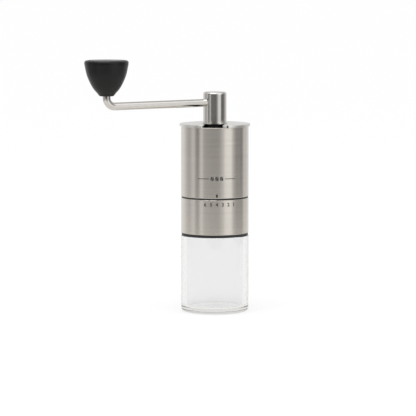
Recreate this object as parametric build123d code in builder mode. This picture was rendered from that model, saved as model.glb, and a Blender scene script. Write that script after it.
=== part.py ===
# Hand crank coffee grinder: a steel-sleeved hopper, a grind setting ring, a ceramic
# conical burr set and a clear screw-on jar, turned by a bent rod crank with a knob.
# Millimetres, +Z up, origin at the centre of the jar's flat bottom, -Y is the front.
import os
from math import cos, pi, radians, sin, sqrt

from build123d import *

os.makedirs("parts", exist_ok=True)

# Heights up the outside
jar_height = 59.2
jar_seal_top = 60.3
ring_seat = 61.1
ring_top = 88.4
tube_bottom = 89.4
tube_top = 143.4
lid_thickness = 1.8
hub_bottom = 144.7
hub_height = 24.95
rod_height = 161.3
knob_bottom = 169.3
running_gap = 0.1

# Radii of the body, from the outside in
body_radius = 26.0
seam_radius = 25.65
lid_radius = 27.15
tube_wall = 0.8
core_radius = 25.15
hopper_radius = 22.9
neck_radius = 22.3
neck_bore = 20.3
carrier_radius = 20.0
burr_radius = 17.95
jar_wall = 4.2
jar_neck_radius = 23.35
hub_radius = 9.0
shaft_radius = 3.5
hex_flats = 6.0
fit = 0.05

# Setting ring: turning it one way or the other raises or lowers the outer burr
steps = 6
step_angle = 10.0
rise_per_turn = 4.775
pin_radius = 1.25
pin_height = 75.0
pin_tip = 23.9
arm_angles = (90, 210, 330)
arms = len(arm_angles)

# Crank
crank_angle = 210.0
crank_radius = 97.0
rod_radius = 3.0
rod_bend = 7.0

# Lid slot faces 7 degrees to the left of the front mark
lid_turn = -7.0
slot_half_width = 7.4
slot_eye_radius = 9.5
slot_mouth_rounding = 1.9
nick_radius = 0.8
nick_offset = 11.2

ring_sleeve_wall = 0.8
ring_bottom = ring_seat + running_gap
ring_upper = ring_top - running_gap
ring_core_radius = body_radius - ring_sleeve_wall - fit
ring_core_bore = neck_radius + 0.3
lid_bottom = tube_top
lid_top = tube_top + lid_thickness
hub_top = hub_bottom + hub_height
groove_tilt = rise_per_turn / (pi * (neck_radius + pin_tip))


def section(*points):
    """Closed outline of (radius, height) points, standing on the axis plane."""
    with BuildSketch(Plane.XZ) as outline:
        with BuildLine():
            Polyline(*points, close=True)
        make_face()
    return outline.sketch


def rims(edges, radius, height):
    """The circular edges of one radius at one height."""
    circles = edges.filter_by(GeomType.CIRCLE)
    at_radius = circles.filter_by(lambda edge: abs(edge.radius - radius) < 0.01)
    return at_radius.filter_by(lambda edge: abs(edge.arc_center.Z - height) < 0.01)


def radial_plane(angle, height):
    """Plane whose normal points outwards from the axis at one angle and height."""
    outward = (cos(radians(angle)), sin(radians(angle)), 0)
    return Plane(origin=(0, 0, height), x_dir=(-outward[1], outward[0], 0), z_dir=outward)


# ------------------------------------------------------------------ jar and its gasket
floor_thickness = 4.0
jar_neck_top = 66.4
jar_foot_round = 2.8
jar_floor_round = 2.5
jar_neck_round = 0.5
edge_round = 0.4
jar_bore = body_radius - jar_wall

with BuildPart() as jar:
    revolve(
        section(
            (0, 0),
            (body_radius, 0),
            (body_radius, jar_height),
            (jar_neck_radius, jar_height),
            (jar_neck_radius, jar_neck_top),
            (jar_bore, jar_neck_top),
            (jar_bore, floor_thickness),
            (0, floor_thickness),
        ),
        axis=Axis.Z,
    )
    fillet(rims(jar.edges(), body_radius, 0), radius=jar_foot_round)
    fillet(rims(jar.edges(), jar_bore, floor_thickness), radius=jar_floor_round)
    fillet(rims(jar.edges(), body_radius, jar_height), radius=edge_round)
    fillet(rims(jar.edges(), jar_neck_radius, jar_neck_top), radius=jar_neck_round)
jar.part.label = "jar"
export_step(jar.part, "parts/jar.step")

seal_slack = 0.03
seal_bore = jar_neck_radius + 0.25
seal_radius = seam_radius - 0.15
with BuildPart() as jar_seal:
    with BuildSketch(Plane.XY.offset(jar_height + seal_slack)):
        Circle(seal_radius)
        Circle(seal_bore, mode=Mode.SUBTRACT)
    extrude(amount=jar_seal_top - jar_height - 2 * seal_slack)
jar_seal.part.label = "jar_seal"
export_step(jar_seal.part, "parts/jar_seal.step")

# ------------------------------------------------------------------ housing
tube_bore = body_radius - tube_wall
tube_mouth_round = 0.3
with BuildPart() as housing_tube:
    with BuildSketch(Plane.XY.offset(tube_bottom)):
        Circle(body_radius)
        Circle(tube_bore, mode=Mode.SUBTRACT)
    extrude(amount=tube_top - tube_bottom)
    fillet(rims(housing_tube.edges(), body_radius, tube_bottom), radius=edge_round)
    fillet(rims(housing_tube.edges(), body_radius, tube_top), radius=tube_mouth_round)
housing_tube.part.label = "housing_tube"
export_step(housing_tube.part, "parts/housing_tube.step")

# Moulded core: funnel, neck through the setting ring, and the ribs of the lower bearing
core_shoulder = tube_bottom + running_gap
web_bottom = 66.8
collar_top = 68.2
funnel_bottom = 83.0
funnel_radius = 17.2
funnel_throat = 1.5
funnel_top = 98.0
rib_bottom = 87.0
rib_top = 94.0
rib_width = 3.0
rib_reach = 21.5
bush_radius = 5.5
boss_radius = 7.8
ring_screw_radius = 21.55
ring_screw_angle = 30
ring_screw_shank = 0.5
ring_screw_depth = 4.4
screw_hole_spare = 0.3
window_width = 2 * pin_radius + 0.3
window_height = 4.4
detent_radius = 23.7
detent_pocket = 1.0
detent_pocket_top = 95.5
with BuildPart() as hopper_core:
    revolve(
        section(
            (core_radius, core_shoulder),
            (core_radius, funnel_top),
            (hopper_radius, funnel_top),
            (funnel_radius, funnel_bottom + funnel_throat),
            (funnel_radius, funnel_bottom),
            (neck_bore, funnel_bottom),
            (neck_bore, collar_top + fit),
            (neck_radius, collar_top + fit),
            (neck_radius, core_shoulder),
        ),
        axis=Axis.Z,
    )
    # three ribs carry the lower bearing boss across the funnel
    with BuildSketch(Plane.XY.offset(rib_bottom)):
        with PolarLocations(rib_reach / 2, arms, start_angle=arm_angles[0]):
            Rectangle(rib_reach, rib_width)
        Circle(boss_radius)
        Circle(bush_radius, mode=Mode.SUBTRACT)
    extrude(amount=rib_top - rib_bottom)
    # upright windows in the neck for the guide pins
    for angle in arm_angles:
        with BuildSketch(radial_plane(angle, pin_height)):
            SlotOverall(window_height, window_width, rotation=90)
        extrude(amount=neck_radius + 1, mode=Mode.SUBTRACT)
    # blind holes for the screws of the retaining ring
    with BuildSketch(Plane.XY.offset(collar_top)):
        with PolarLocations(ring_screw_radius, arms, start_angle=ring_screw_angle):
            Circle(ring_screw_shank + fit)
    extrude(amount=ring_screw_depth + screw_hole_spare, mode=Mode.SUBTRACT)
    # pocket for the click spring and ball
    with BuildSketch(Plane.XY.offset(core_shoulder)):
        with Locations((0, detent_radius)):
            Circle(detent_pocket)
    extrude(amount=detent_pocket_top - core_shoulder, mode=Mode.SUBTRACT)
hopper_core.part.label = "hopper_core"
export_step(hopper_core.part, "parts/hopper_core.step")

# Liner of the bean chamber, with a ledge and a blind screw hole under each arm of the bridge
core_top = tube_top - 0.2
ledge_top = 136.5
ledge_height = 6.0
ledge_reach = 16.2
ledge_width = 6.0
ledge_root = hopper_radius + 0.5
bridge_screw_radius = 18.4
bridge_screw_shank = 1.05
bridge_screw_depth = 3.8
bridge_hole_radius = 1.1
bridge_hole_depth = 4.0
with BuildPart() as hopper_liner:
    with BuildSketch(Plane.XY.offset(funnel_top + fit)):
        Circle(core_radius)
        Circle(hopper_radius, mode=Mode.SUBTRACT)
    extrude(amount=core_top - funnel_top - fit)
    with BuildSketch(Plane.XY.offset(ledge_top - ledge_height)):
        with PolarLocations((ledge_reach + ledge_root) / 2, arms, start_angle=arm_angles[0]):
            Rectangle(ledge_root - ledge_reach, ledge_width)
    extrude(amount=ledge_height)
    with BuildSketch(Plane.XY.offset(ledge_top)):
        with PolarLocations(bridge_screw_radius, arms, start_angle=arm_angles[0]):
            Circle(bridge_hole_radius)
    extrude(amount=-bridge_hole_depth, mode=Mode.SUBTRACT)
hopper_liner.part.label = "hopper_liner"
export_step(hopper_liner.part, "parts/hopper_liner.step")

with BuildPart() as glide_washer:
    with BuildSketch(Plane.XY.offset(ring_top)):
        Circle(seam_radius)
        Circle(neck_radius + fit, mode=Mode.SUBTRACT)
        with Locations((0, detent_radius)):
            Circle(detent_pocket, mode=Mode.SUBTRACT)
    extrude(amount=tube_bottom - ring_top)
glide_washer.part.label = "glide_washer"
export_step(glide_washer.part, "parts/glide_washer.step")

# Retaining ring: its flange holds the setting ring up, its collar takes the jar's neck, and
# three small screws hold its web under the neck of the core
collar_bore = jar_neck_radius + 0.3
collar_radius = body_radius - ring_sleeve_wall - 0.3
web_bore = carrier_radius + 0.35
ring_screw_head = 1.1
ring_screw_head_height = 0.7
ring_screw_sink = 0.8
ring_screw_cross = 1.2
ring_screw_slot = 0.3
ring_screw_slot_depth = 0.4
with BuildPart() as retaining_ring:
    revolve(
        section(
            (collar_bore, jar_seal_top),
            (seam_radius, jar_seal_top),
            (seam_radius, ring_seat),
            (collar_radius, ring_seat),
            (collar_radius, collar_top),
            (web_bore, collar_top),
            (web_bore, web_bottom),
            (collar_bore, web_bottom),
        ),
        axis=Axis.Z,
    )
    with BuildSketch(Plane.XY.offset(web_bottom)):
        with PolarLocations(ring_screw_radius, arms, start_angle=ring_screw_angle):
            Circle(ring_screw_shank + fit)
    extrude(amount=collar_top - web_bottom, mode=Mode.SUBTRACT)
    with BuildSketch(Plane.XY.offset(web_bottom)):
        with PolarLocations(ring_screw_radius, arms, start_angle=ring_screw_angle):
            Circle(ring_screw_head + fit)
    extrude(amount=ring_screw_sink, mode=Mode.SUBTRACT)
retaining_ring.part.label = "retaining_ring"
export_step(retaining_ring.part, "parts/retaining_ring.step")

screw_head_top = web_bottom + ring_screw_sink - fit / 2
with BuildPart() as retaining_screws:
    with BuildSketch(Plane.XY.offset(screw_head_top)):
        with PolarLocations(ring_screw_radius, arms, start_angle=ring_screw_angle):
            Circle(ring_screw_head)
    extrude(amount=-ring_screw_head_height)
    with BuildSketch(Plane.XY.offset(screw_head_top)):
        with PolarLocations(ring_screw_radius, arms, start_angle=ring_screw_angle):
            Circle(ring_screw_shank)
    extrude(amount=collar_top - screw_head_top + ring_screw_depth)
    with BuildSketch(Plane.XY.offset(screw_head_top - ring_screw_head_height)):
        with PolarLocations(ring_screw_radius, arms, start_angle=ring_screw_angle):
            Rectangle(ring_screw_cross, ring_screw_slot)
            Rectangle(ring_screw_slot, ring_screw_cross)
    extrude(amount=ring_screw_slot_depth, mode=Mode.SUBTRACT)
retaining_screws.part.label = "retaining_screws"
export_step(retaining_screws.part, "parts/retaining_screws.step")

# Upper bridge: three arms and a tall bearing boss that ends just under the crank hub
bridge_thickness = 3.5
bridge_boss_radius = 6.8
bridge_boss_top = 144.4
bridge_arm_width = 4.0
bridge_pad_radius = 2.8
bridge_pad_hole = 1.3
bridge_boss_depth = 4.0
bridge_reach = hopper_radius - 0.5
bridge_floor = ledge_top
with BuildPart() as shaft_bridge:
    with BuildSketch(Plane.XY.offset(bridge_floor)):
        with PolarLocations(bridge_reach / 2, arms, start_angle=arm_angles[0]):
            Rectangle(bridge_reach, bridge_arm_width)
        with PolarLocations(bridge_screw_radius, arms, start_angle=arm_angles[0]):
            Circle(bridge_pad_radius)
    extrude(amount=bridge_thickness)
    with BuildSketch(Plane.XY.offset(bridge_floor - bridge_boss_depth)):
        Circle(bridge_boss_radius)
    extrude(amount=bridge_boss_top - bridge_floor + bridge_boss_depth)
    with BuildSketch(Plane.XY.offset(bridge_floor - bridge_boss_depth)):
        Circle(bush_radius)
    extrude(amount=bridge_boss_top - bridge_floor + bridge_boss_depth, mode=Mode.SUBTRACT)
    with BuildSketch(Plane.XY.offset(bridge_floor)):
        with PolarLocations(bridge_screw_radius, arms, start_angle=arm_angles[0]):
            Circle(bridge_pad_hole)
    extrude(amount=bridge_thickness, mode=Mode.SUBTRACT)
shaft_bridge.part.label = "shaft_bridge"
export_step(shaft_bridge.part, "parts/shaft_bridge.step")

bridge_top = bridge_floor + bridge_thickness
bridge_screw_head = 2.2
bridge_screw_top = bridge_top + 1.3
bridge_screw_cross = 2.4
bridge_screw_slot = 0.6
bridge_screw_slot_depth = 0.8
bridge_screw_steps = (
    (bridge_screw_shank, ledge_top - bridge_screw_depth, bridge_top),
    (bridge_screw_head, bridge_top, bridge_screw_top),
)
with BuildPart() as bridge_screws:
    for shank_radius, low, high in bridge_screw_steps:
        with BuildSketch(Plane.XY.offset(low)):
            with PolarLocations(bridge_screw_radius, arms, start_angle=arm_angles[0]):
                Circle(shank_radius)
        extrude(amount=high - low)
    with BuildSketch(Plane.XY.offset(bridge_screw_top)):
        with PolarLocations(bridge_screw_radius, arms, start_angle=arm_angles[0]):
            Rectangle(bridge_screw_cross, bridge_screw_slot)
            Rectangle(bridge_screw_slot, bridge_screw_cross)
    extrude(amount=-bridge_screw_slot_depth, mode=Mode.SUBTRACT)
bridge_screws.part.label = "bridge_screws"
export_step(bridge_screws.part, "parts/bridge_screws.step")

bush_bottom = bridge_floor - 3.5
bush_top = bridge_boss_top - 0.3
with BuildPart() as upper_bush:
    with BuildSketch(Plane.XY.offset(bush_bottom)):
        Circle(bush_radius - fit / 2)
        Circle(shaft_radius + fit, mode=Mode.SUBTRACT)
    extrude(amount=bush_top - bush_bottom)
upper_bush.part.label = "upper_bush"
export_step(upper_bush.part, "parts/upper_bush.step")

with BuildPart() as lower_bush:
    with BuildSketch(Plane.XY.offset(rib_bottom)):
        Circle(bush_radius - fit / 2)
        Circle(shaft_radius + fit, mode=Mode.SUBTRACT)
    extrude(amount=rib_top - rib_bottom)
lower_bush.part.label = "lower_bush"
export_step(lower_bush.part, "parts/lower_bush.step")

# Click stop: a ball pressed down by a small spring into dimples in the ring core
ball_radius = 0.75
ball_height = 88.5
click_floor = ball_height - ball_radius - running_gap
with BuildPart() as click_ball:
    with Locations((0, detent_radius, ball_height)):
        Sphere(ball_radius)
click_ball.part.label = "click_ball"
export_step(click_ball.part, "parts/click_ball.step")

click_wire = 0.16
click_coil = 0.6
click_pitch = 1.0
click_spring_bottom = ball_height + ball_radius + click_wire + 0.02
click_spring_height = detent_pocket_top - click_spring_bottom - click_wire - 0.05
with BuildPart() as click_spring:
    with BuildLine():
        coil = Helix(
            pitch=click_pitch,
            height=click_spring_height,
            radius=click_coil,
            center=(0, detent_radius, click_spring_bottom),
        )
    with BuildSketch(Plane(origin=coil @ 0, z_dir=coil % 0)):
        Circle(click_wire)
    sweep(is_frenet=True)
click_spring.part.label = "click_spring"
export_step(click_spring.part, "parts/click_spring.step")

# ------------------------------------------------------------------ setting ring
with BuildPart() as grind_ring:
    with BuildSketch(Plane.XY.offset(ring_bottom)):
        Circle(body_radius)
        Circle(body_radius - ring_sleeve_wall, mode=Mode.SUBTRACT)
    extrude(amount=ring_upper - ring_bottom)
    fillet(rims(grind_ring.edges(), body_radius, ring_bottom), radius=edge_round)
    fillet(rims(grind_ring.edges(), body_radius, ring_upper), radius=edge_round)
grind_ring.part.label = "grind_ring"
export_step(grind_ring.part, "parts/grind_ring.step")

groove_half_height = pin_radius + 0.15
groove_reach = 45.0
groove_depth_radius = pin_tip + 0.2
ring_core_top = ring_upper - 0.1
ring_core_bottom = collar_top + 0.2
dimple_radius = 0.6
dimple_depth = 0.4
with BuildPart() as ring_core:
    with BuildSketch(Plane.XY.offset(ring_core_bottom)):
        Circle(ring_core_radius)
        Circle(ring_core_bore, mode=Mode.SUBTRACT)
    extrude(amount=ring_core_top - ring_core_bottom)
    # each guide pin runs in a slanting groove, cut 45 degrees to both sides of the pin
    for angle in arm_angles:
        outward = Vector(cos(radians(angle)), sin(radians(angle)), 0)
        along = Vector(-outward.Y, outward.X, 0)
        groove_up = Vector(0, 0, cos(groove_tilt)) + along * sin(groove_tilt)
        start = outward.rotate(Axis((0, 0, 0), groove_up), -groove_reach)
        with BuildSketch(Plane(origin=(0, 0, pin_height), x_dir=start, z_dir=start.cross(groove_up))):
            with Locations(((ring_core_bore - 1 + groove_depth_radius) / 2, 0)):
                Rectangle(groove_depth_radius - ring_core_bore + 1, 2 * groove_half_height)
        revolve(
            axis=Axis((0, 0, pin_height), groove_up),
            revolution_arc=2 * groove_reach,
            mode=Mode.SUBTRACT,
        )
    # track and six dimples for the click ball
    with BuildSketch(Plane.XY.offset(ring_core_top)):
        Circle(detent_radius + ball_radius + running_gap)
        Circle(detent_radius - ball_radius - running_gap, mode=Mode.SUBTRACT)
    extrude(amount=click_floor - ring_core_top, mode=Mode.SUBTRACT)
    first_dimple = arm_angles[0] - 2 * step_angle
    with BuildSketch(Plane.XY.offset(click_floor)):
        with PolarLocations(detent_radius, steps, start_angle=first_dimple, angular_range=steps * step_angle):
            Circle(dimple_radius)
    extrude(amount=-dimple_depth, mode=Mode.SUBTRACT)
ring_core.part.label = "ring_core"
export_step(ring_core.part, "parts/ring_core.step")

# ------------------------------------------------------------------ outer burr and carrier
carrier_bottom = 68.2
carrier_top = 82.2
carrier_lip = 80.9
carrier_lip_radius = 16.2
with BuildPart() as burr_carrier:
    revolve(
        section(
            (burr_radius + fit, carrier_bottom),
            (carrier_radius, carrier_bottom),
            (carrier_radius, carrier_top),
            (carrier_lip_radius, carrier_top),
            (carrier_lip_radius, carrier_lip),
            (burr_radius + fit, carrier_lip),
        ),
        axis=Axis.Z,
    )
    for angle in arm_angles:
        with BuildSketch(radial_plane(angle, pin_height)):
            Circle(pin_radius)
        extrude(amount=carrier_radius + 1, mode=Mode.SUBTRACT)
burr_carrier.part.label = "burr_carrier"
export_step(burr_carrier.part, "parts/burr_carrier.step")

with BuildPart() as guide_pins:
    for angle in arm_angles:
        with BuildSketch(radial_plane(angle, pin_height).offset(burr_radius + 2 * fit)):
            Circle(pin_radius)
        extrude(amount=pin_tip - burr_radius - 2 * fit)
guide_pins.part.label = "guide_pins"
export_step(guide_pins.part, "parts/guide_pins.step")

# Burr cones: a steep fine-grinding band at the bottom, an open crushing cone above
fine_bottom = 68.6
fine_top = 71.6
burr_gap = 0.55
inner_top = 81.5
inner_bottom = 67.2
inner_fine_low = 14.3
inner_fine_high = 13.3
inner_tip = 6.8
outer_top = 80.8
outer_throat = 12.7
fine_width = 1.1
fine_depth = 0.6
fine_skew = 12
outer_fine_teeth = 36
outer_coarse_teeth = 9
outer_coarse_width = 2.2
outer_coarse_depth = 1.5
outer_coarse_skew = 20


def tooth_cutter(low, high, width, depth, skew, outwards):
    """V-shaped bar along a cone's side, from its low to its high (radius, height) point."""
    run = Vector(high[0] - low[0], 0, high[1] - low[1])
    along = run.normalized() * cos(radians(skew)) + Vector(0, sin(radians(skew)), 0)
    normal = Vector(run.Z, 0, -run.X).normalized()
    middle = Vector((low[0] + high[0]) / 2, 0, (low[1] + high[1]) / 2)
    tip = depth if outwards else -depth
    back = -1.2 * tip
    with BuildPart() as cutter:
        with BuildSketch(Plane(origin=middle, x_dir=normal, z_dir=along)):
            with BuildLine():
                Polyline((tip, 0), (back, -width), (back, width), close=True)
            make_face()
        extrude(amount=run.length / 2 + 1, both=True)
    return cutter.part


with BuildPart() as outer_burr:
    revolve(
        section(
            (inner_fine_low + burr_gap, fine_bottom),
            (burr_radius, fine_bottom),
            (burr_radius, outer_top),
            (outer_throat, outer_top),
            (inner_fine_high + burr_gap, fine_top),
        ),
        axis=Axis.Z,
    )
    fine_low = (inner_fine_low + burr_gap, fine_bottom)
    fine_high = (inner_fine_high + burr_gap, fine_top)
    fine_cutter = tooth_cutter(fine_low, fine_high, fine_width, fine_depth, fine_skew, True)
    with PolarLocations(0, outer_fine_teeth):
        add(fine_cutter, mode=Mode.SUBTRACT)
    coarse_high = (outer_throat, outer_top)
    coarse_cutter = tooth_cutter(
        fine_high, coarse_high, outer_coarse_width, outer_coarse_depth, outer_coarse_skew, True
    )
    with PolarLocations(0, outer_coarse_teeth):
        add(coarse_cutter, mode=Mode.SUBTRACT)
outer_burr.part.label = "outer_burr"
export_step(outer_burr.part, "parts/outer_burr.step")

# ------------------------------------------------------------------ drive shaft and inner burr
shaft_bottom = 62.2
thread_radius = 3.0
thread_top = 67.3
shaft_shoulder = 144.55
shaft_top = 157.0
clip_bottom = rib_top + 0.15
clip_thickness = 0.8
groove_radius = 3.0
shaft_end_chamfer = 0.6
with BuildPart() as drive_shaft:
    revolve(
        section(
            (0, shaft_bottom),
            (thread_radius, shaft_bottom),
            (thread_radius, thread_top),
            (shaft_radius, thread_top),
            (shaft_radius, clip_bottom - fit),
            (groove_radius, clip_bottom - fit),
            (groove_radius, clip_bottom + clip_thickness + fit),
            (shaft_radius, clip_bottom + clip_thickness + fit),
            (shaft_radius, shaft_shoulder),
            (0, shaft_shoulder),
        ),
        axis=Axis.Z,
    )
    with BuildSketch(Plane.XY.offset(shaft_shoulder)):
        RegularPolygon(hex_flats / 2, 6, major_radius=False)
    extrude(amount=shaft_top - shaft_shoulder)
    chamfer(drive_shaft.edges().group_by(Axis.Z)[-1], length=shaft_end_chamfer)
drive_shaft.part.label = "drive_shaft"
export_step(drive_shaft.part, "parts/drive_shaft.step")

inner_foot = inner_fine_low - 0.8
inner_fine_teeth = 32
inner_coarse_teeth = 6
inner_coarse_width = 3.0
inner_coarse_depth = 1.9
inner_coarse_skew = -28
with BuildPart() as inner_burr:
    revolve(
        section(
            (shaft_radius + fit, inner_bottom),
            (inner_foot, inner_bottom),
            (inner_fine_low, fine_bottom),
            (inner_fine_high, fine_top),
            (inner_tip, inner_top),
            (shaft_radius + fit, inner_top),
        ),
        axis=Axis.Z,
    )
    fine_low = (inner_fine_low, fine_bottom)
    fine_high = (inner_fine_high, fine_top)
    fine_cutter = tooth_cutter(fine_low, fine_high, fine_width, fine_depth, -fine_skew, False)
    with PolarLocations(0, inner_fine_teeth):
        add(fine_cutter, mode=Mode.SUBTRACT)
    coarse_high = (inner_tip, inner_top)
    coarse_cutter = tooth_cutter(
        fine_high, coarse_high, inner_coarse_width, inner_coarse_depth, inner_coarse_skew, False
    )
    with PolarLocations(0, inner_coarse_teeth):
        add(coarse_cutter, mode=Mode.SUBTRACT)
inner_burr.part.label = "inner_burr"
export_step(inner_burr.part, "parts/inner_burr.step")

washer_thickness = 0.6
thrust_washer_radius = 6.2
with BuildPart() as thrust_washer:
    with BuildSketch(Plane.XY.offset(inner_top)):
        Circle(thrust_washer_radius)
        Circle(shaft_radius + fit, mode=Mode.SUBTRACT)
    extrude(amount=washer_thickness)
thrust_washer.part.label = "thrust_washer"
export_step(thrust_washer.part, "parts/thrust_washer.step")

spring_wire = 0.4
spring_coil = 4.6
spring_turns = 2.5
spring_bottom = inner_top + washer_thickness + spring_wire + 0.02
spring_height = rib_bottom - 0.3 - spring_bottom - spring_wire
with BuildPart() as burr_spring:
    with BuildLine():
        coil = Helix(
            pitch=spring_height / spring_turns,
            height=spring_height,
            radius=spring_coil,
            center=(0, 0, spring_bottom),
        )
    with BuildSketch(Plane(origin=coil @ 0, z_dir=coil % 0)):
        Circle(spring_wire)
    sweep(is_frenet=True)
burr_spring.part.label = "burr_spring"
export_step(burr_spring.part, "parts/burr_spring.step")

shaft_clip_radius = 5.4
shaft_clip_mouth = 2.6
clip_cut = 10.0
with BuildPart() as shaft_clip:
    with BuildSketch(Plane.XY.offset(clip_bottom)):
        Circle(shaft_clip_radius)
        Circle(groove_radius + fit, mode=Mode.SUBTRACT)
        with Locations((clip_cut / 2, 0)):
            Rectangle(clip_cut, shaft_clip_mouth, mode=Mode.SUBTRACT)
    extrude(amount=clip_thickness)
shaft_clip.part.label = "shaft_clip"
export_step(shaft_clip.part, "parts/shaft_clip.step")

burr_washer_radius = 6.5
with BuildPart() as burr_washer:
    with BuildSketch(Plane.XY.offset(inner_bottom - washer_thickness)):
        Circle(burr_washer_radius)
        Circle(thread_radius + fit, mode=Mode.SUBTRACT)
    extrude(amount=washer_thickness)
burr_washer.part.label = "burr_washer"
export_step(burr_washer.part, "parts/burr_washer.step")

nut_height = 3.8
nut_radius = 6.2
nut_flute_radius = 1.3
nut_flute_centres = 6.6
nut_flutes = 8
nut_top = inner_bottom - washer_thickness
with BuildPart() as burr_nut:
    with BuildSketch(Plane.XY.offset(nut_top - nut_height)):
        Circle(nut_radius)
        Circle(thread_radius + fit, mode=Mode.SUBTRACT)
        with PolarLocations(nut_flute_centres, nut_flutes):
            Circle(nut_flute_radius, mode=Mode.SUBTRACT)
    extrude(amount=nut_height)
burr_nut.part.label = "burr_nut"
export_step(burr_nut.part, "parts/burr_nut.step")

# ------------------------------------------------------------------ crank
crank_outward = (cos(radians(crank_angle)), sin(radians(crank_angle)), 0)
crank_plane = Plane(origin=(0, 0, 0), x_dir=crank_outward, z_dir=(crank_outward[1], -crank_outward[0], 0))
rod_inner_end = -6.5
rod_top = 190.0
socket_radius = 6.5
socket_top = 157.5
screw_angle = crank_angle - 90
set_screw_radius = 1.5
hub_top_round = 1.8
hub_foot_chamfer = 0.4
with BuildPart() as crank_hub:
    with BuildSketch(Plane.XY.offset(hub_bottom)):
        Circle(hub_radius)
    extrude(amount=hub_height)
    fillet(rims(crank_hub.edges(), hub_radius, hub_top), radius=hub_top_round)
    chamfer(rims(crank_hub.edges(), hub_radius, hub_bottom), length=hub_foot_chamfer)
    with BuildSketch(Plane.XY.offset(hub_bottom)):
        Circle(socket_radius)
    extrude(amount=socket_top - hub_bottom, mode=Mode.SUBTRACT)
    with BuildSketch(radial_plane(crank_angle, rod_height).offset(rod_inner_end)):
        Circle(rod_radius + fit / 2)
    extrude(amount=hub_radius - rod_inner_end + 1, mode=Mode.SUBTRACT)
    with BuildSketch(radial_plane(screw_angle, rod_height)):
        Circle(set_screw_radius)
    extrude(amount=hub_radius + 1, mode=Mode.SUBTRACT)
crank_hub.part.label = "crank_hub"
export_step(crank_hub.part, "parts/crank_hub.step")

socket_bottom = hub_bottom + 0.3
with BuildPart() as hub_socket:
    with BuildSketch(Plane.XY.offset(socket_bottom)):
        Circle(socket_radius - fit / 2)
        RegularPolygon(hex_flats / 2 + fit, 6, major_radius=False, mode=Mode.SUBTRACT)
    extrude(amount=socket_top - socket_bottom)
hub_socket.part.label = "hub_socket"
export_step(hub_socket.part, "parts/hub_socket.step")

knob_clip_bottom = 187.6
knob_clip_thickness = 0.8
clip_groove_depth = 0.5
with BuildPart() as crank_arm:
    with BuildLine(crank_plane) as route:
        FilletPolyline(
            (rod_inner_end, rod_height),
            (crank_radius, rod_height),
            (crank_radius, rod_top),
            radius=rod_bend,
        )
    with BuildSketch(Plane(origin=route.line @ 0, z_dir=route.line % 0)):
        Circle(rod_radius)
    sweep()
    knob_centre = (crank_radius * crank_outward[0], crank_radius * crank_outward[1])
    with BuildSketch(Plane.XY.offset(knob_clip_bottom - fit)):
        with Locations(knob_centre):
            Circle(rod_radius + 1)
            Circle(rod_radius - clip_groove_depth, mode=Mode.SUBTRACT)
    extrude(amount=knob_clip_thickness + 2 * fit, mode=Mode.SUBTRACT)
crank_arm.part.label = "crank_arm"
export_step(crank_arm.part, "parts/crank_arm.step")

screw_slack = 0.02
screw_length = 5.2
screw_socket_flats = 0.75
screw_socket_depth = 1.6
screw_tip = rod_radius + screw_slack
with BuildPart() as hub_screw:
    with BuildSketch(radial_plane(screw_angle, rod_height).offset(screw_tip)):
        Circle(set_screw_radius - screw_slack)
    extrude(amount=screw_length)
    with BuildSketch(radial_plane(screw_angle, rod_height).offset(screw_tip + screw_length)):
        RegularPolygon(screw_socket_flats, 6, major_radius=False)
    extrude(amount=-screw_socket_depth, mode=Mode.SUBTRACT)
hub_screw.part.label = "hub_screw"
export_step(hub_screw.part, "parts/hub_screw.step")

knob_clip_radius = 5.2
knob_clip_mouth = 2.4
with BuildPart() as knob_clip:
    with BuildSketch(Plane.XY.offset(knob_clip_bottom)):
        with Locations(knob_centre):
            Circle(knob_clip_radius)
            Circle(rod_radius - clip_groove_depth + fit, mode=Mode.SUBTRACT)
        with Locations((knob_centre[0] + clip_cut / 2, knob_centre[1])):
            Rectangle(clip_cut, knob_clip_mouth, mode=Mode.SUBTRACT)
    extrude(amount=knob_clip_thickness)
knob_clip.part.label = "knob_clip"
export_step(knob_clip.part, "parts/knob_clip.step")

# ------------------------------------------------------------------ knob
knob_top = 196.0
knob_bore = 4.5
knob_foot = (5.2, knob_bottom)
knob_heel = (5.9, knob_bottom + 0.7)
knob_shoulder = (16.6, knob_bottom + 24.9)
knob_rim = (14.8, knob_top)
knob_lower_slope = (0.55, 0.83)
knob_upper_slope = (0.02, 1)
knob_cavity = 7.0
knob_bush_top = 187.5
cap_seat = 194.0
cap_radius = 13.6
cap_crown = 0.6
cap_edge = knob_top - 0.3
knob_axis = Axis((knob_centre[0], knob_centre[1], 0), (0, 0, 1))
knob_plane = Plane(origin=(knob_centre[0], knob_centre[1], 0), x_dir=(1, 0, 0), z_dir=(0, -1, 0))
with BuildPart() as crank_knob:
    with BuildSketch(knob_plane):
        with BuildLine():
            Polyline(
                knob_rim,
                (cap_radius + fit, knob_top),
                (cap_radius + fit, cap_seat),
                (knob_cavity, cap_seat),
                (knob_cavity, knob_bush_top),
                (knob_bore, knob_bush_top),
                (knob_bore, knob_bottom),
                knob_foot,
            )
            Line(knob_foot, knob_heel)
            Spline(
                knob_heel,
                (9.1, knob_bottom + 4.5),
                (12.65, knob_bottom + 10.5),
                (14.95, knob_bottom + 16.4),
                (16.25, knob_bottom + 22.4),
                knob_shoulder,
                tangents=[knob_lower_slope, knob_upper_slope],
            )
            TangentArc(knob_shoulder, knob_rim, tangent=knob_upper_slope)
        make_face()
    revolve(axis=knob_axis)
crank_knob.part.label = "crank_knob"
export_step(crank_knob.part, "parts/crank_knob.step")

with BuildPart() as knob_cap:
    with BuildSketch(knob_plane):
        with BuildLine():
            Polyline((0, knob_top + cap_crown), (0, cap_seat), (cap_radius, cap_seat), (cap_radius, cap_edge))
            TangentArc((0, knob_top + cap_crown), (cap_radius, cap_edge), tangent=(1, 0))
        make_face()
    revolve(axis=knob_axis)
knob_cap.part.label = "knob_cap"
export_step(knob_cap.part, "parts/knob_cap.step")

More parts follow.
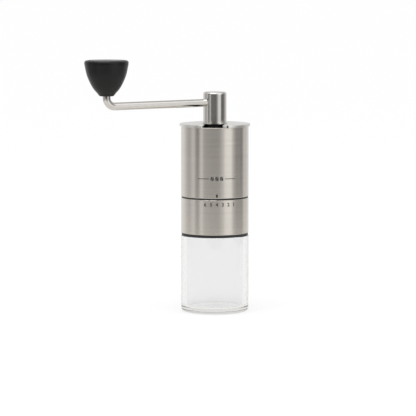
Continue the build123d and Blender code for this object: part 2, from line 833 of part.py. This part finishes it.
knob_bush_bottom = knob_bottom + 0.4
with BuildPart() as knob_bush:
    with BuildSketch(Plane.XY.offset(knob_bush_bottom)):
        with Locations(knob_centre):
            Circle(knob_bore - fit / 2)
            Circle(rod_radius + fit, mode=Mode.SUBTRACT)
    extrude(amount=knob_bush_top - knob_bush_bottom)
knob_bush.part.label = "knob_bush"
export_step(knob_bush.part, "parts/knob_bush.step")

# ------------------------------------------------------------------ lid
lip_outer = hopper_radius - 0.4
lip_inner = 21.2
lip_depth = 3.0
nick_setback = -sqrt(lid_radius**2 - nick_offset**2)
slot_run_out = 5.0


def cut_lid_slot():
    """Outline of the keyhole slot, from its eye round the hub out past the front edge."""
    with BuildSketch() as slot:
        Circle(slot_eye_radius)
        with Locations((0, -lid_radius / 2 - slot_run_out)):
            Rectangle(2 * slot_half_width, lid_radius + 2 * slot_run_out)
    return slot.sketch


with BuildPart() as lid:
    with BuildSketch(Plane.XY.offset(lid_bottom).rotated((0, 0, lid_turn))):
        Circle(lid_radius)
        add(cut_lid_slot(), mode=Mode.SUBTRACT)
        with Locations((-nick_offset, nick_setback), (nick_offset, nick_setback)):
            Circle(nick_radius, mode=Mode.SUBTRACT)
    extrude(amount=lid_thickness)
    mouth = (lid_radius * sin(radians(lid_turn)), -lid_radius * cos(radians(lid_turn)), lid_bottom)
    mouth_corners = lid.edges().filter_by(Axis.Z).sort_by_distance(mouth)[:2]
    fillet(mouth_corners, radius=slot_mouth_rounding)
    fillet(rims(lid.edges(), lid_radius, lid_top), radius=edge_round)
lid.part.label = "lid"
export_step(lid.part, "parts/lid.step")

with BuildPart() as lid_lip:
    with BuildSketch(Plane.XY.offset(lid_bottom - lip_depth).rotated((0, 0, lid_turn))):
        Circle(lip_outer)
        Circle(lip_inner, mode=Mode.SUBTRACT)
        add(cut_lid_slot(), mode=Mode.SUBTRACT)
    extrude(amount=lip_depth)
lid_lip.part.label = "lid_lip"
export_step(lid_lip.part, "parts/lid_lip.step")
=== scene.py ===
from math import cos, pi, radians, sin

import bmesh
import bpy
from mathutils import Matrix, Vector


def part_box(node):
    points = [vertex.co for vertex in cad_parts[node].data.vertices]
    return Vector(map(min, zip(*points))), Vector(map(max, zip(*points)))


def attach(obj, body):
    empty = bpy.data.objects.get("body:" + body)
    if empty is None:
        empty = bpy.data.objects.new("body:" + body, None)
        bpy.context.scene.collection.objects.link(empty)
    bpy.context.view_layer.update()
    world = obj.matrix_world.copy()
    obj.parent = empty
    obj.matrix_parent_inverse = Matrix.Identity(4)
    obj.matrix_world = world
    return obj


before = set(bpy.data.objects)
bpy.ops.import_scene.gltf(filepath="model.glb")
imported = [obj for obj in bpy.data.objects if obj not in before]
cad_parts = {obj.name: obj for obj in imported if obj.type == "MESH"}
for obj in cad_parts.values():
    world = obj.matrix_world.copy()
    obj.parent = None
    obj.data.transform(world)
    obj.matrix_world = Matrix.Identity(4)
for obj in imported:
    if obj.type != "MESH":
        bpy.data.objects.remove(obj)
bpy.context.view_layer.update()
scene = bpy.context.scene

# ---------------------------------------------------------------- studio light
# Diffusers all round a pale table: a tall bright soft box to the right of the lens, a
# narrow one to the left, black flags between them, white paper behind, and the dark edge
# of the table low down. The lens itself sees only the white paper.
scene.view_settings.view_transform = "Standard"
front_turn = radians(3.5)


class Link:
    """One output of a node tree, usable in arithmetic: each operator adds a Math node."""

    def __init__(self, tree, socket):
        self.tree = tree
        self.socket = socket

    def math(self, operation, *others):
        node = self.tree.nodes.new("ShaderNodeMath")
        node.operation = operation
        for slot, value in zip(node.inputs, (self,) + others):
            join(self.tree, slot, value)
        return Link(self.tree, node.outputs[0])

    def __add__(self, other):
        return self.math("ADD", other)

    def __radd__(self, other):
        return self.math("ADD", other)

    def __mul__(self, other):
        return self.math("MULTIPLY", other)

    def __rmul__(self, other):
        return self.math("MULTIPLY", other)

    def __sub__(self, other):
        return self.math("SUBTRACT", other)

    def __rsub__(self, other):
        return self.math("MULTIPLY", -1.0) + other

    def __truediv__(self, other):
        return self.math("DIVIDE", other)

    def __rtruediv__(self, other):
        return self.math("POWER", -1.0) * other

    def clamped(self, low=0.0, high=1.0):
        return self.math("MAXIMUM", low).math("MINIMUM", high)


def join(tree, slot, value):
    """Puts a value or a link into an input socket."""
    if isinstance(value, Link):
        tree.links.new(value.socket, slot)
    elif isinstance(value, tuple) and len(value) == 3 and slot.type == "RGBA":
        slot.default_value = (*value, 1.0)
    else:
        slot.default_value = value


class Tree:
    """A material's or world's node tree."""

    def __init__(self, owner):
        owner.use_nodes = True
        self.tree = owner.node_tree
        self.tree.nodes.clear()

    def node(self, kind, settings=None, inputs=None, out=0):
        """Adds one node: its type, its settings, the values or links of its sockets, the output to use."""
        made = self.tree.nodes.new("ShaderNode" + kind)
        for name, value in (settings or {}).items():
            if name == "stops":
                ramp_stops(made.color_ramp, value)
            elif name == "interpolation" and kind == "ValToRGB":
                made.color_ramp.interpolation = value
            else:
                setattr(made, name, value)
        for name, value in (inputs or {}).items():
            join(self.tree, made.inputs[name], value)
        return Link(self.tree, made.outputs[out]) if made.outputs else None

    def split(self, vector):
        separate = self.node("SeparateXYZ", inputs={0: vector}).socket.node
        return [Link(self.tree, output) for output in separate.outputs]

    def pack(self, x, y, z):
        return self.node("CombineXYZ", inputs={0: x, 1: y, 2: z})

    def mix(self, factor, first, second):
        """Blend of two colours."""
        return self.node("Mix", {"data_type": "RGBA"}, {0: factor, 6: first, 7: second}, out=2)

    def noise(self, vector, scale, detail=3.0, roughness=0.5):
        values = {"Vector": vector, "Scale": scale, "Detail": detail, "Roughness": roughness}
        return self.node("TexNoise", inputs=values)

    def surface(self, shader, kind="Material", inside=None):
        """Ends the tree with a shader and, for a clear piece, with what lies inside it."""
        links = {"Surface": shader}
        if inside:
            links["Volume"] = inside
        self.node("Output" + kind, inputs=links)


def ramp_stops(ramp, stops):
    """Sets a colour ramp's stops from (position, grey or colour) pairs."""
    while len(ramp.elements) > 1:
        ramp.elements.remove(ramp.elements[-1])
    for number, (position, colour) in enumerate(stops):
        stop = ramp.elements[0] if number == 0 else ramp.elements.new(position)
        stop.position = position
        stop.color = (*colour, 1.0) if isinstance(colour, tuple) else (colour, colour, colour, 1.0)


# Brightness round the horizon, and how strongly the table's edge darkens it, both by
# degrees to the right of the lens
studio_ring = (
    (-180, 0.86), (-130, 0.86), (-110, 0.55), (-96, 0.42), (-84, 0.64), (-75, 0.70), (-69, 0.32),
    (-60, 0.13), (-55, 0.30), (-51, 0.66), (-45, 0.74), (-38, 0.54), (-20, 0.42), (2, 0.38),
    (16, 0.43), (30, 0.72), (35, 1.25), (44, 1.32), (56, 1.40), (66, 1.04), (78, 0.40),
    (89, 0.47), (101, 0.23), (110, 0.30), (117, 0.72), (134, 0.66), (152, 0.84), (180, 0.86),
)
table_edge = (
    (-180, 0.0), (-46, 0.0), (-36, 1.0), (12, 1.0), (24, 0.45), (57, 0.45),
    (66, 1.0), (84, 1.0), (98, 0.45), (110, 0.0), (180, 0.0),
)
edge_grey = (0.10, 0.10, 0.10)
edge_drop = 0.08
edge_core = 0.06
edge_fade = 0.08
overhead_front = 1.25
overhead_back = 0.50
overhead_start = 0.42
overhead_fade = 0.25
underneath_light = 0.62
underneath_start = 0.45
underneath_fade = 0.35
paper_white = (0.98, 0.98, 0.98)
world = bpy.data.worlds.new("studio")
scene.world = world
sky = Tree(world)
direction_x, direction_y, direction_z = sky.split(sky.node("TexCoord", out="Generated"))
across = direction_x * cos(front_turn) - direction_y * sin(front_turn)
towards = direction_x * -sin(front_turn) - direction_y * cos(front_turn)
turn = across.math("ARCTAN2", towards) / (2 * pi) + 0.5
stops = [((degrees + 180) / 360, grey) for degrees, grey in studio_ring]
ring = sky.node("ValToRGB", {"interpolation": "LINEAR", "stops": stops}, {"Fac": turn})
edge_stops = [((degrees + 180) / 360, grey) for degrees, grey in table_edge]
edge = sky.node("ValToRGB", {"interpolation": "EASE", "stops": edge_stops}, {"Fac": turn})
level = (1.0 - ((direction_z + edge_drop).math("ABSOLUTE") - edge_core) / edge_fade).clamped()
ring = sky.mix(edge * level, ring, edge_grey)
behind = (towards * -2.0).clamped()
rising = ((direction_z - overhead_start) / overhead_fade).clamped()
falling = ((direction_z * -1.0 - underneath_start) / underneath_fade).clamped()
overhead = sky.mix(behind, (overhead_front,) * 3, (overhead_back,) * 3)
studio_light = sky.mix(rising, sky.mix(falling, ring, (underneath_light,) * 3), overhead)
is_camera = sky.node("LightPath", out="Is Camera Ray")
backdrop = sky.mix(is_camera, studio_light, paper_white)
sky.surface(sky.node("Background", inputs={"Color": backdrop, "Strength": 1.0}), "World")


# ---------------------------------------------------------------- table
# A wide sheet of pale matt paper that glows a little, as under a light tent. Round the
# foot lies a bounce card that shows only in the steel, where it lightens the lower walls.
floor_reach = 60.0
card_reach = 0.45
card_level = 0.0005


def flat_sheet(name, reach, level):
    """A flat square lying at one height."""
    corners = ((-1, -1), (1, -1), (1, 1), (-1, 1))
    mesh = bpy.data.meshes.new(name)
    mesh.from_pydata([(x * reach, y * reach, level) for x, y in corners], [], [(0, 1, 2, 3)])
    sheet = bpy.data.objects.new(name, mesh)
    scene.collection.objects.link(sheet)
    return sheet


floor = flat_sheet("floor", floor_reach, 0.0)
floor_material = bpy.data.materials.new("pale floor")
floor_tree = Tree(floor_material)
floor_shade = floor_tree.node(
    "BsdfPrincipled",
    inputs={
        "Base Color": (0.30, 0.30, 0.30),
        "Roughness": 0.9,
        "Specular IOR Level": 0.0,
        "Emission Color": (1.0, 1.0, 1.0),
        "Emission Strength": 0.72,
    },
)
floor_tree.surface(floor_shade)
floor.data.materials.append(floor_material)
floor.visible_glossy = False

card = flat_sheet("bounce_card", card_reach, card_level)
card_material = bpy.data.materials.new("bounce card")
card_tree = Tree(card_material)
card_tree.surface(card_tree.node("Emission", inputs={"Color": (0.90, 0.885, 0.86), "Strength": 1.0}))
card.data.materials.append(card_material)
card.visible_camera = False
card.visible_diffuse = False
card.visible_transmission = False
card.visible_shadow = False


# ---------------------------------------------------------------- camera and lamp
# A long lens a little higher than the knob, looking slightly down, and one soft lamp high
# at the front left that gives the faint shadow beside the foot.
camera_distance = 1.964
camera_height = 0.2827
camera_pitch = 0.10296
camera_yaw = 0.00268
camera_data = bpy.data.cameras.new("camera")
camera_data.lens = 221.5
camera_data.clip_end = 200.0
camera = bpy.data.objects.new("camera", camera_data)
scene.collection.objects.link(camera)
camera.location = (-camera_distance * sin(front_turn), -camera_distance * cos(front_turn), camera_height)
camera.rotation_euler = (pi / 2 - camera_pitch, 0.0, -front_turn + camera_yaw)
scene.camera = camera

lamp_place = Vector((-0.25, -0.5, 1.1))
lamp_target = Vector((0.0, 0.0, 0.12))
top_light = bpy.data.lights.new("top_light", "AREA")
top_light.shape = "RECTANGLE"
top_light.size = 0.9
top_light.size_y = 0.5
top_light.energy = 3.0
top_lamp = bpy.data.objects.new("top_light", top_light)
scene.collection.objects.link(top_lamp)
top_lamp.location = lamp_place
top_lamp.rotation_euler = (lamp_target - lamp_place).to_track_quat("-Z", "Y").to_euler()


# ---------------------------------------------------------------- jar
# Clear moulded jar with a thick floor, rounded foot and a plain neck that goes up into
# the grinder; injection moulded in a styrene-like plastic and polished clear.
def paint(node_name, material):
    """Gives a CAD piece its finish."""
    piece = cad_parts[node_name]
    piece.data.materials.clear()
    piece.data.materials.append(material)


def clear_plastic():
    material = bpy.data.materials.new("clear plastic")
    tree = Tree(material)
    place = tree.node("TexCoord", out="Object")
    ripple = tree.noise(place, 90.0, 2.0)
    haze = tree.noise(place, 35.0, 4.0)
    bump = tree.node("Bump", inputs={"Strength": 0.05, "Distance": 0.0004, "Height": ripple})
    shade = tree.node(
        "BsdfPrincipled",
        inputs={
            "Base Color": (0.918, 0.920, 0.920),
            "Roughness": 0.010 + 0.020 * haze,
            "IOR": 1.49,
            "Transmission Weight": 1.0,
            "Normal": bump,
        },
    )
    depth = tree.node("VolumeAbsorption", inputs={"Color": (0.500, 0.505, 0.505), "Density": 9.0})
    tree.surface(shade, inside=depth)
    return material


paint("jar", clear_plastic())


# ---------------------------------------------------------------- gasket and lip
# Black silicone rubber, moulded: the gasket between jar and retaining ring, and the lip
# under the lid that centres it in the mouth of the hopper.
def black_rubber():
    material = bpy.data.materials.new("black rubber")
    tree = Tree(material)
    place = tree.node("TexCoord", out="Object")
    dust = tree.noise(place, 600.0, 3.0)
    tone = tree.mix(dust * 0.5, (0.010, 0.010, 0.010), (0.035, 0.034, 0.033))
    bump = tree.node("Bump", inputs={"Strength": 0.2, "Distance": 0.0001, "Height": dust})
    values = {"Base Color": tone, "Roughness": 0.5 + 0.25 * dust, "Normal": bump}
    tree.surface(tree.node("BsdfPrincipled", inputs=values))
    return material


rubber = black_rubber()
paint("jar_seal", rubber)
paint("lid_lip", rubber)


# ---------------------------------------------------------------- moulded inner parts
# Black glass-filled nylon with a fine spark-eroded texture: the hopper's core and liner,
# the bridge, the ring core, the washer, the retaining ring and the burr carrier.
def black_nylon():
    material = bpy.data.materials.new("black nylon")
    tree = Tree(material)
    place = tree.node("TexCoord", out="Object")
    grain = tree.noise(place, 2600.0, 2.0)
    cloud = tree.noise(place, 120.0, 3.0)
    tone = tree.mix(cloud, (0.008, 0.008, 0.008), (0.020, 0.020, 0.021))
    bump = tree.node("Bump", inputs={"Strength": 0.25, "Distance": 0.00005, "Height": grain})
    values = {"Base Color": tone, "Roughness": 0.40 + 0.15 * grain, "Normal": bump}
    tree.surface(tree.node("BsdfPrincipled", inputs=values))
    return material


nylon = black_nylon()
moulded_parts = (
    "hopper_core", "hopper_liner", "glide_washer", "retaining_ring", "shaft_bridge", "ring_core",
    "burr_carrier",
)
for moulded in moulded_parts:
    paint(moulded, nylon)


# ---------------------------------------------------------------- body tube, setting ring, lid and hub
# Stainless steel, turned and brushed round the axis: fine lines run round the walls and
# in circles over the lid, with faint finger haze between them.
def brushed_steel(name, low_tone, high_tone, roughness, anisotropy, line_depth):
    material = bpy.data.materials.new(name)
    tree = Tree(material)
    place = tree.node("TexCoord", out="Object")
    x, y, z = tree.split(place)
    radius = (x * x + y * y).math("POWER", 0.5)
    wound = tree.pack(x * 18.0, y * 18.0, (z + radius) * 4200.0)
    fine = tree.noise(wound, 1.0, 3.0, 0.65)
    coarse = tree.noise(tree.pack(x * 9.0, y * 9.0, (z + radius) * 900.0), 1.0, 2.0)
    haze = tree.noise(place, 38.0, 3.0)
    lines = (fine * 0.65 + coarse * 0.35).clamped()
    tone = tree.mix(lines, low_tone, high_tone)
    bump = tree.node("Bump", inputs={"Strength": line_depth, "Distance": 0.00002, "Height": lines})
    shade = tree.node(
        "BsdfPrincipled",
        inputs={
            "Base Color": tone,
            "Metallic": 1.0,
            "Roughness": roughness - 0.05 + 0.10 * (lines * 0.6 + haze * 0.4),
            "Anisotropic": anisotropy,
            "Anisotropic Rotation": 0.25,
            "Normal": bump,
        },
    )
    tree.surface(shade)
    return material


wall_tones = ((0.575, 0.540, 0.495), (0.775, 0.735, 0.680))
lid_tones = ((0.70, 0.69, 0.66), (0.84, 0.83, 0.80))
hub_tones = ((0.60, 0.58, 0.55), (0.76, 0.74, 0.71))
wall = brushed_steel("brushed wall steel", *wall_tones, roughness=0.26, anisotropy=0.78, line_depth=0.25)
paint("housing_tube", wall)
paint("grind_ring", wall)
paint("lid", brushed_steel("satin lid steel", *lid_tones, roughness=0.33, anisotropy=0.6, line_depth=0.15))
turned = brushed_steel("turned hub steel", *hub_tones, roughness=0.17, anisotropy=0.6, line_depth=0.15)
paint("crank_hub", turned)


# ---------------------------------------------------------------- setting numbers
# Numerals 6 to 1, pad printed on the setting ring in black ink, ten degrees apart. The
# ink lies a hair thick on the brushed wall and is bent to its radius.
wall_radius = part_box("grind_ring")[1][0]
ink_lift = 0.00004
figure_height = 0.0027
figure_level = 0.0847
figure_step = radians(10)
number_at_mark = 4
figure_relief = 0.00002
figure_weight = 0.00008
size_of_height = 1.42


def printing_ink():
    material = bpy.data.materials.new("print and notch shade")
    tree = Tree(material)
    place = tree.node("TexCoord", out="Object")
    speck = tree.noise(place, 3000.0, 3.0)
    tone = tree.mix(speck, (0.010, 0.009, 0.008), (0.060, 0.055, 0.050))
    values = {"Base Color": tone, "Roughness": 0.45 + 0.2 * speck}
    tree.surface(tree.node("BsdfPrincipled", inputs=values))
    return material


def bend_to_wall(mesh, angle, height):
    """Wraps a flat mesh, drawn in x and y, round the wall at one angle and height."""
    for vertex in mesh.vertices:
        bearing = angle + vertex.co.x / wall_radius
        reach = wall_radius + ink_lift + vertex.co.z
        vertex.co = (reach * sin(bearing), -reach * cos(bearing), height + vertex.co.y)
    mesh.update()


# Black ink for the print; the same dark material is also the painted shade in the lid's notch.
print_and_notch_shade = printing_ink()


def printed_piece(name, mesh, body):
    """A printed mark, or the painted shade in the lid's notch, that rides on one body."""
    mesh.materials.clear()
    mesh.materials.append(print_and_notch_shade)
    piece = bpy.data.objects.new(name, mesh)
    scene.collection.objects.link(piece)
    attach(piece, body)
    return piece


def figure_mesh(text, height):
    """A flat mesh of one numeral, centred, of one height, with heavy strokes."""
    curve = bpy.data.curves.new("figure_" + text, "FONT")
    curve.body = text
    curve.align_x = "CENTER"
    curve.align_y = "CENTER"
    curve.size = height * size_of_height
    curve.extrude = figure_relief
    curve.offset = figure_weight
    curve.resolution_u = 6
    holder = bpy.data.objects.new("figure", curve)
    scene.collection.objects.link(holder)
    bpy.context.view_layer.update()
    evaluated = holder.evaluated_get(bpy.context.evaluated_depsgraph_get())
    mesh = bpy.data.meshes.new_from_object(evaluated)
    bpy.data.objects.remove(holder)
    return mesh


for number in range(6, 0, -1):
    digit = figure_mesh(str(number), figure_height)
    bend_to_wall(digit, (number_at_mark - number) * figure_step, figure_level)
    printed_piece(f"setting_number_{number}", digit, "setting_ring")


# ---------------------------------------------------------------- index mark
# A small drop printed on the body tube just above the seam. It stays with the tube and
# points down at the chosen number.
patch_thickness = 0.00004
mark_half_width = 0.0012
mark_half_height = 0.0014
mark_level = 0.0914
mark_rows = 10
mark_columns = 4
blunt_end = 0.05
drop_lean = 0.32


def inked_patch(name, rows, columns):
    """A thin plate made of rows of (y, left x, right x), cut into columns so that it bends."""
    form = bmesh.new()
    sheets = []
    for rise in (0.0, patch_thickness):
        grid = []
        for y, left, right in rows:
            spots = [left + (right - left) * step / columns for step in range(columns + 1)]
            grid.append([form.verts.new((x, y, rise)) for x in spots])
        sheets.append(grid)
    for grid in sheets:
        for low, high in zip(grid, grid[1:]):
            for here in range(columns):
                form.faces.new((low[here], low[here + 1], high[here + 1], high[here]))
    rims = []
    for grid in sheets:
        left_side = [line[0] for line in grid]
        right_side = [line[-1] for line in grid]
        rims.append(grid[0] + right_side[1:] + grid[-1][-2::-1] + left_side[-2:0:-1])
    for here in range(len(rims[0])):
        after = (here + 1) % len(rims[0])
        form.faces.new((rims[0][here], rims[0][after], rims[1][after], rims[1][here]))
    bmesh.ops.recalc_face_normals(form, faces=form.faces)
    mesh = bpy.data.meshes.new(name)
    form.to_mesh(mesh)
    form.free()
    return mesh


def wall_mark(name, rows, columns, angle, height):
    """Prints one patch on the body tube."""
    mesh = inked_patch(name, rows, columns)
    bend_to_wall(mesh, angle, height)
    printed_piece(name, mesh, "housing")


drop = []
for step in range(mark_rows + 1):
    swing = pi * (step / mark_rows - 0.5)
    half = mark_half_width * max(cos(swing), blunt_end) * (1.0 - drop_lean + drop_lean * sin(swing))
    drop.append((mark_half_height * sin(swing), -half, half))
wall_mark("index_mark", drop, mark_columns, 0.0, mark_level)


# ---------------------------------------------------------------- ornament
# Three coffee beans between two thin rules, printed on the tube in the same black ink.
# Each bean is two halves with a curved crease of bare steel between them.
ornament_level = 0.1046
bean_half_width = 0.00125
bean_half_height = 0.0017
bean_step = radians(8)
middle_bean = 2
bean_rows = 12
bean_columns = 4
crease = 0.00016
crease_bend = 0.00035
least_width = 0.00001
for order in (1, 2, 3):
    for side, side_name in ((-1, "left"), (1, "right")):
        half_bean = []
        for step in range(bean_rows + 1):
            swing = pi * (step / bean_rows - 0.5)
            flank = side * bean_half_width * cos(swing)
            inner = crease_bend * sin(2 * swing) + side * crease
            outer = max(flank, inner) if side > 0 else min(flank, inner)
            left, right = sorted((inner, outer))
            half_bean.append((bean_half_height * sin(swing), left, right + least_width))
        bean_angle = (order - middle_bean) * bean_step
        wall_mark(f"bean_{order}_{side_name}", half_bean, bean_columns, bean_angle, ornament_level)
rule_inner = 0.0062
rule_outer = 0.0150
rule_half_height = 0.00022
rule_columns = 24
for side, name in ((-1, "rule_left"), (1, "rule_right")):
    ends = sorted((side * rule_inner, side * rule_outer))
    rule = [(-rule_half_height, *ends), (rule_half_height, *ends)]
    wall_mark(name, rule, rule_columns, 0.0, ornament_level)


# ---------------------------------------------------------------- index notch of the lid
# Painted shade: a black fill laid into the right-hand notch of the lid's rim, a hair below the steel,
# where the deep narrow notch falls into shade.
notch_radius = 0.00076
notch_bearing = radians(17.36)
notch_sides = 16
rim_setback = 0.00012
foot_gap = 0.00005
top_gap = 0.00040
lid_low, lid_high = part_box("lid")
notch_shade_reach = lid_high[0] - rim_setback
notch_shade_low = lid_low[2] + foot_gap
notch_shade_high = lid_high[2] - top_gap
# The painted shade is a half-round black block that fills the notch and rides on the lid.
form = bmesh.new()
outline = []
for step in range(notch_sides + 1):
    swing = pi * step / notch_sides
    sideways = notch_radius * cos(swing)
    reach = notch_shade_reach - notch_radius * sin(swing)
    across_lid = reach * sin(notch_bearing) + sideways * cos(notch_bearing)
    into_lid = sideways * sin(notch_bearing) - reach * cos(notch_bearing)
    outline.append(form.verts.new((across_lid, into_lid, notch_shade_low)))
pressed = bmesh.ops.extrude_face_region(form, geom=[form.faces.new(outline)])
raised = [item for item in pressed["geom"] if isinstance(item, bmesh.types.BMVert)]
bmesh.ops.translate(form, vec=(0.0, 0.0, notch_shade_high - notch_shade_low), verts=raised)
bmesh.ops.recalc_face_normals(form, faces=form.faces)
notch_shade_mesh = bpy.data.meshes.new("notch_painted_shade")
form.to_mesh(notch_shade_mesh)
form.free()
printed_piece("notch_painted_shade", notch_shade_mesh, "lid")


# ---------------------------------------------------------------- crank rod
# 6 mm stainless rod, cold bent and polished, held in the hub by a set screw; faint
# smears keep it from being a perfect mirror.
def polished_steel():
    material = bpy.data.materials.new("polished rod steel")
    tree = Tree(material)
    place = tree.node("TexCoord", out="Object")
    smear = tree.noise(place, 260.0, 4.0)
    tone = tree.mix(smear, (0.60, 0.58, 0.55), (0.73, 0.71, 0.68))
    bump = tree.node("Bump", inputs={"Strength": 0.05, "Distance": 0.00002, "Height": smear})
    values = {"Base Color": tone, "Metallic": 1.0, "Roughness": 0.07 + 0.06 * smear, "Normal": bump}
    tree.surface(tree.node("BsdfPrincipled", inputs=values))
    return material


paint("crank_arm", polished_steel())


# ---------------------------------------------------------------- shaft, screws and springs
# Plain steel parts, turned, stamped or coiled and left as machined: fine tool lines run
# round them, and the steel is greyer than the brushed outside.
def machined_steel():
    material = bpy.data.materials.new("machined steel")
    tree = Tree(material)
    place = tree.node("TexCoord", out="Object")
    x, y, z = tree.split(place)
    tool_lines = tree.noise(tree.pack(x * 60.0, y * 60.0, z * 5200.0), 1.0, 2.0)
    tone = tree.mix(tool_lines, (0.42, 0.41, 0.40), (0.62, 0.61, 0.60))
    bump = tree.node("Bump", inputs={"Strength": 0.2, "Distance": 0.00003, "Height": tool_lines})
    values = {"Base Color": tone, "Metallic": 1.0, "Roughness": 0.25 + 0.15 * tool_lines, "Normal": bump}
    tree.surface(tree.node("BsdfPrincipled", inputs=values))
    return material


machined = machined_steel()
plain_steel_parts = (
    "bridge_screws", "retaining_screws", "click_ball", "click_spring", "guide_pins", "drive_shaft",
    "thrust_washer", "burr_spring", "shaft_clip", "burr_washer", "burr_nut", "hub_socket", "hub_screw",
    "knob_clip",
)
for steel_part in plain_steel_parts:
    paint(steel_part, machined)


# ---------------------------------------------------------------- bushes
# Oil-filled sintered bronze, pressed into the two bearings of the shaft, and a white
# acetal sleeve that the knob turns on.
def sintered(name, low_tone, high_tone, metallic):
    material = bpy.data.materials.new(name)
    tree = Tree(material)
    place = tree.node("TexCoord", out="Object")
    pores = tree.noise(place, 3500.0, 3.0)
    tone = tree.mix(pores, low_tone, high_tone)
    bump = tree.node("Bump", inputs={"Strength": 0.3, "Distance": 0.00004, "Height": pores})
    values = {"Base Color": tone, "Metallic": metallic, "Roughness": 0.42 + 0.2 * pores, "Normal": bump}
    tree.surface(tree.node("BsdfPrincipled", inputs=values))
    return material


bronze = sintered("sintered bronze", (0.34, 0.21, 0.10), (0.62, 0.42, 0.22), 1.0)
paint("upper_bush", bronze)
paint("lower_bush", bronze)
paint("knob_bush", sintered("white acetal", (0.76, 0.75, 0.71), (0.86, 0.85, 0.82), 0.0))


# ---------------------------------------------------------------- burrs
# Pressed and fired alumina, off-white with darker flecks and a matt bite: the outer burr
# sits in its carrier and the inner one is held on the shaft by a nut.
ceramic = sintered("fired ceramic", (0.70, 0.67, 0.61), (0.88, 0.86, 0.82), 0.0)
paint("outer_burr", ceramic)
paint("inner_burr", ceramic)


# ---------------------------------------------------------------- knob
# Satin black moulded knob with a separate crowned cap pressed into its rim; a little
# worn by hands, so its sheen varies slowly.
def satin_black(name, roughness):
    material = bpy.data.materials.new(name)
    tree = Tree(material)
    place = tree.node("TexCoord", out="Object")
    grain = tree.noise(place, 1800.0, 3.0)
    rub = tree.noise(place, 70.0, 4.0)
    tone = tree.mix(rub, (0.0025, 0.0025, 0.0025), (0.0060, 0.0060, 0.0060))
    bump = tree.node("Bump", inputs={"Strength": 0.12, "Distance": 0.00004, "Height": grain})
    shade = tree.node(
        "BsdfPrincipled",
        inputs={
            "Base Color": tone,
            "Roughness": roughness + 0.08 * rub,
            "Specular IOR Level": 0.28,
            "Normal": bump,
        },
    )
    tree.surface(shade)
    return material


paint("crank_knob", satin_black("satin black knob", 0.30))
paint("knob_cap", satin_black("black knob cap", 0.26))
